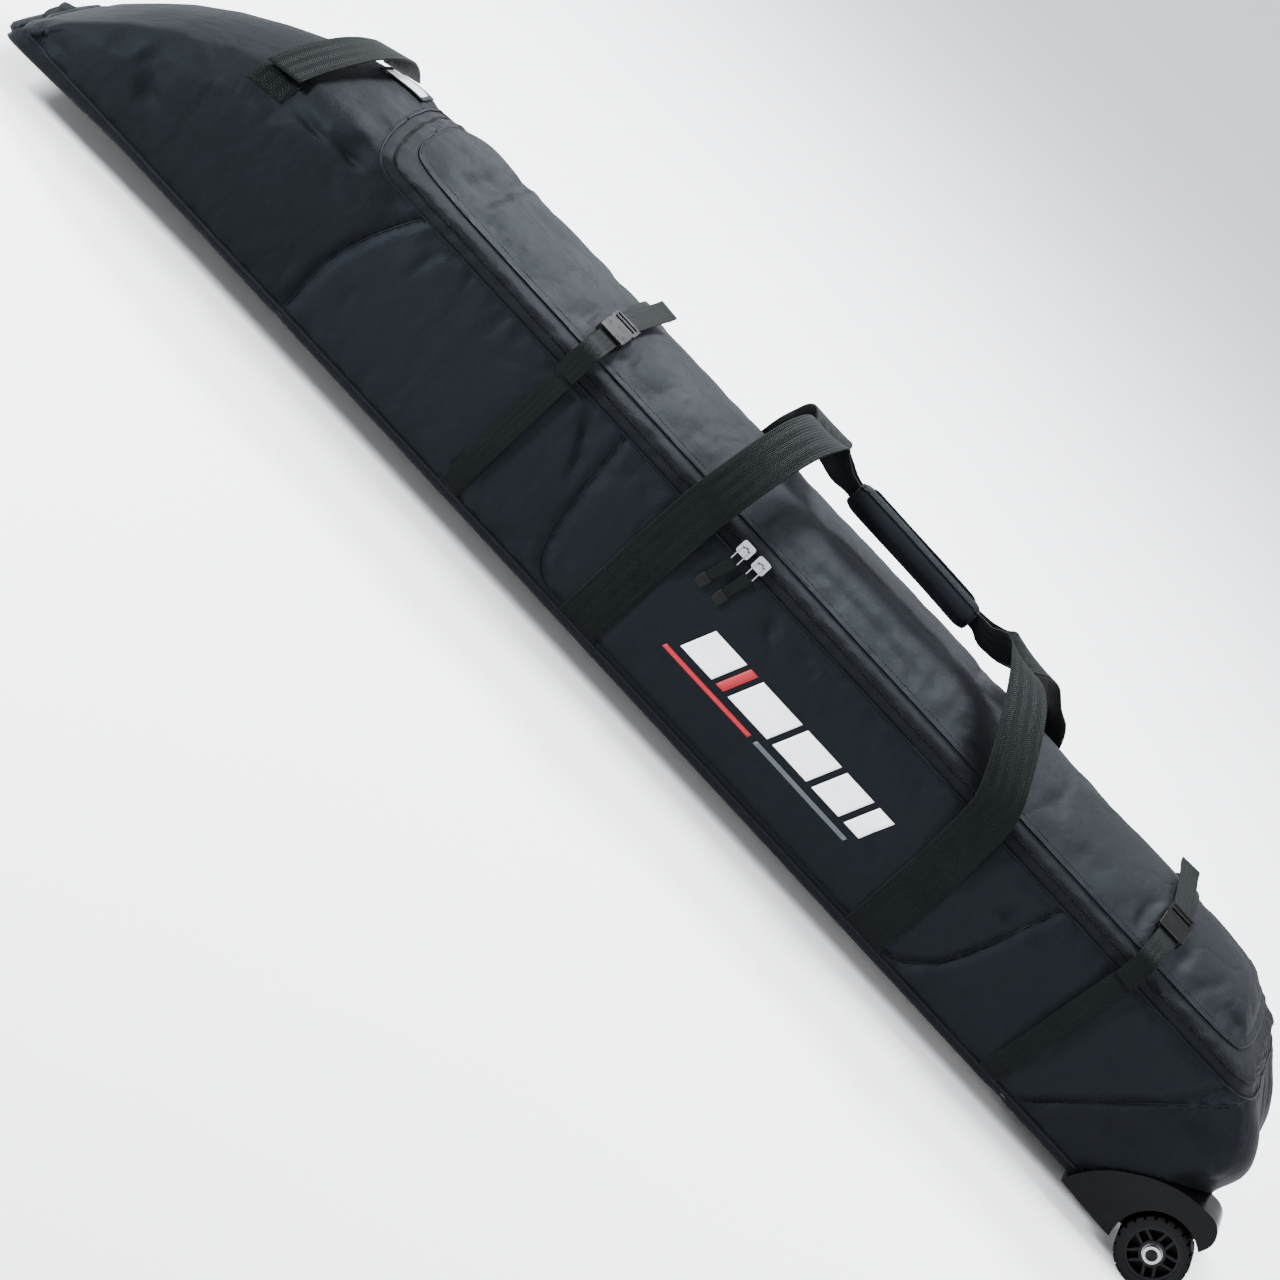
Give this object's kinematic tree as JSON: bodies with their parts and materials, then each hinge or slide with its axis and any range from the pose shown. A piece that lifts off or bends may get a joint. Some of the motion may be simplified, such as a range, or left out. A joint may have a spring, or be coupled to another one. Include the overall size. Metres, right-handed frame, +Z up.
{
  "type": "wheeled ski bag",
  "caption": "Long padded ski bag with a wedge nose, zip-round hinged lid, buckled compression straps, webbing carry handles with a wrap grip, and moulded tail wheels.",
  "frame": {"origin": "mid-width of the bag on the underside of the bottom panel, near mid-length", "axes": "+X along the bag towards the wheels, -Y towards the zip and buckle side, +Z up"},
  "size_m": [1.746, 0.3224, 0.3624],
  "materials": {
    "shell_fabric": "coated dobby polyester, near black with a blue cast",
    "base_fabric": "heavier coated weave",
    "reinforcement_fabric": "coated dobby polyester",
    "lining_fabric": "plain lining weave",
    "piping": "covered cord",
    "board_plastic": "corrugated polypropylene stiffener",
    "webbing": "flat polypropylene webbing",
    "grip_fabric": "padded sleeve",
    "zip_tape": "woven tape",
    "zip_coil": "nylon coil",
    "slider_metal": "nickel plated",
    "pull_tag": "webbing with a moulded end",
    "buckle_plastic": "acetal",
    "card_clear": "clear vinyl",
    "card_white": "blank card",
    "housing_plastic": "moulded, satin",
    "tyre": "moulded tread",
    "hub_plastic": "moulded",
    "bearing_steel": "shielded ball bearing",
    "axle_chrome": "plated head",
    "fastener_steel": "zinc plated",
    "print_white": "screen print",
    "print_red": "screen print",
    "print_grey": "screen print"
  },
  "bodies": {
    "base": {"axle_bolt_back": "axle_chrome", "axle_bolt_front": "axle_chrome", "axle_nut_back": "fastener_steel", "axle_nut_front": "fastener_steel", "back_panel": "shell_fabric", "back_reinforcement": "reinforcement_fabric", "base_board": "board_plastic", "bottom_panel": "base_fabric", "card_insert": "card_white", "card_sleeve": "card_clear", "carry_legs_back": "webbing", "carry_legs_front": "webbing", "front_panel": "shell_fabric", "front_reinforcement": "reinforcement_fabric", "housing_screws": "fastener_steel", "inner_tie_straps": "webbing", "lid_hinge_tape": "lining_fabric", "nose_handle_tabs": "webbing", "nose_shell": "shell_fabric", "seam_piping": "piping", "strap_back_nose": "webbing", "strap_back_tail": "webbing", "strap_lower_nose": "webbing", "strap_lower_tail": "webbing", "tail_shell": "shell_fabric", "wheel_housing_back": "housing_plastic", "wheel_housing_front": "housing_plastic", "zip_coil_lower": "zip_coil", "zip_tape_lower": "zip_tape"},
    "lid": {"lid_panel": "shell_fabric", "zip_tape_upper": "zip_tape", "zip_coil_upper": "zip_coil", "strap_lid_nose": "webbing", "strap_lid_tail": "webbing"},
    "strap_end_nose": {"strap_end_nose": "webbing", "socket_nose": "buckle_plastic"},
    "strap_end_tail": {"strap_end_tail": "webbing", "socket_tail": "buckle_plastic"},
    "plug_nose": {"plug_nose": "buckle_plastic", "strap_tail_nose": "webbing"},
    "plug_tail": {"plug_tail": "buckle_plastic", "strap_tail_tail": "webbing"},
    "front_handle": {"carry_loop_front": "webbing", "grip_pad": "grip_fabric"},
    "back_handle": {"carry_loop_back": "webbing"},
    "grip_flap": {"grip_flap": "grip_fabric"},
    "nose_handle": {"nose_handle": "webbing"},
    "slider_nose": {"slider_nose": "slider_metal"},
    "slider_tail": {"slider_tail": "slider_metal"},
    "pull_nose": {"pull_ring_nose": "slider_metal", "pull_tag_nose": "pull_tag"},
    "pull_tail": {"pull_ring_tail": "slider_metal", "pull_tag_tail": "pull_tag"},
    "wheel_front": {"wheel_tyre_front": "tyre", "wheel_hub_front": "hub_plastic", "wheel_bearings_front": "bearing_steel"},
    "wheel_back": {"wheel_tyre_back": "tyre", "wheel_hub_back": "hub_plastic", "wheel_bearings_back": "bearing_steel"}
  },
  "joints": [
    {"name": "lid_hinge", "type": "hinge", "parent": "base", "child": "lid", "pos_m": [0, 0.1555, 0.2025], "axis": [-1, 0, 0], "range_deg": [0, 110], "deforming": ["lid_panel", "lid_hinge_tape", "strap_end_nose", "strap_end_tail", "carry_loop_front", "carry_loop_back", "grip_pad", "grip_flap", "plug_nose", "plug_tail"]},
    {"name": "strap_end_nose_swing", "type": "hinge", "parent": "base", "child": "strap_end_nose", "pos_m": [-0.219, -0.1615, 0.187], "axis": [1, 0, 0], "range_deg": [0, 220]},
    {"name": "strap_end_tail_swing", "type": "hinge", "parent": "base", "child": "strap_end_tail", "pos_m": [0.603, -0.1615, 0.187], "axis": [1, 0, 0], "range_deg": [0, 220]},
    {"name": "front_handle_swing", "type": "hinge", "parent": "base", "child": "front_handle", "pos_m": [0, -0.157, 0.124], "axis": [1, 0, 0], "range_deg": [0, 165]},
    {"name": "back_handle_swing", "type": "hinge", "parent": "base", "child": "back_handle", "pos_m": [0, 0.157, 0.124], "axis": [-1, 0, 0], "range_deg": [0, 165]},
    {"name": "grip_flap_open", "type": "hinge", "parent": "front_handle", "child": "grip_flap", "pos_m": [0.153, 0.001, 0.3044], "axis": [1, 0, 0], "range_deg": [0, 140]},
    {"name": "plug_nose_release", "type": "slide", "parent": "lid", "child": "plug_nose", "axis": [0, 0.9829, 0.1839], "range_m": [0, 0.034], "deforming": ["plug_nose"]},
    {"name": "plug_tail_release", "type": "slide", "parent": "lid", "child": "plug_tail", "axis": [0, 0.9727, 0.2319], "range_m": [0, 0.034], "deforming": ["plug_tail"]},
    {"name": "slider_nose_run", "type": "slide", "parent": "base", "child": "slider_nose", "axis": [-1, 0, 0], "range_m": [0, 0.44]},
    {"name": "slider_tail_run", "type": "slide", "parent": "base", "child": "slider_tail", "axis": [1, 0, 0], "range_m": [0, 0.7]},
    {"name": "pull_nose_swing", "type": "hinge", "parent": "slider_nose", "child": "pull_nose", "pos_m": [0.032, -0.1561, 0.2025], "axis": [-1, 0, 0], "range_deg": [0, 150]},
    {"name": "pull_tail_swing", "type": "hinge", "parent": "slider_tail", "child": "pull_tail", "pos_m": [0.054, -0.1561, 0.2025], "axis": [-1, 0, 0], "range_deg": [0, 150]},
    {"name": "nose_handle_swing", "type": "hinge", "parent": "base", "child": "nose_handle", "pos_m": [-0.6135, 0, 0.19283], "axis": [0.1821, 0.981, 0.0664], "range_deg": [-20, 20], "deforming": ["nose_handle"]},
    {"name": "wheel_front_spin", "type": "hinge", "parent": "base", "child": "wheel_front", "pos_m": [0.833, -0.14, 0.014], "axis": [0, 1, 0], "continuous": true},
    {"name": "wheel_back_spin", "type": "hinge", "parent": "base", "child": "wheel_back", "pos_m": [0.833, 0.14, 0.014], "axis": [0, 1, 0], "continuous": true}
  ],
  "couplings": [
    {"joint": "strap_end_nose_swing", "follows": "lid_hinge", "ratio": 2},
    {"joint": "strap_end_tail_swing", "follows": "lid_hinge", "ratio": 2},
    {"joint": "front_handle_swing", "follows": "lid_hinge", "ratio": 1.5},
    {"joint": "back_handle_swing", "follows": "lid_hinge", "ratio": 1.5}
  ]
}
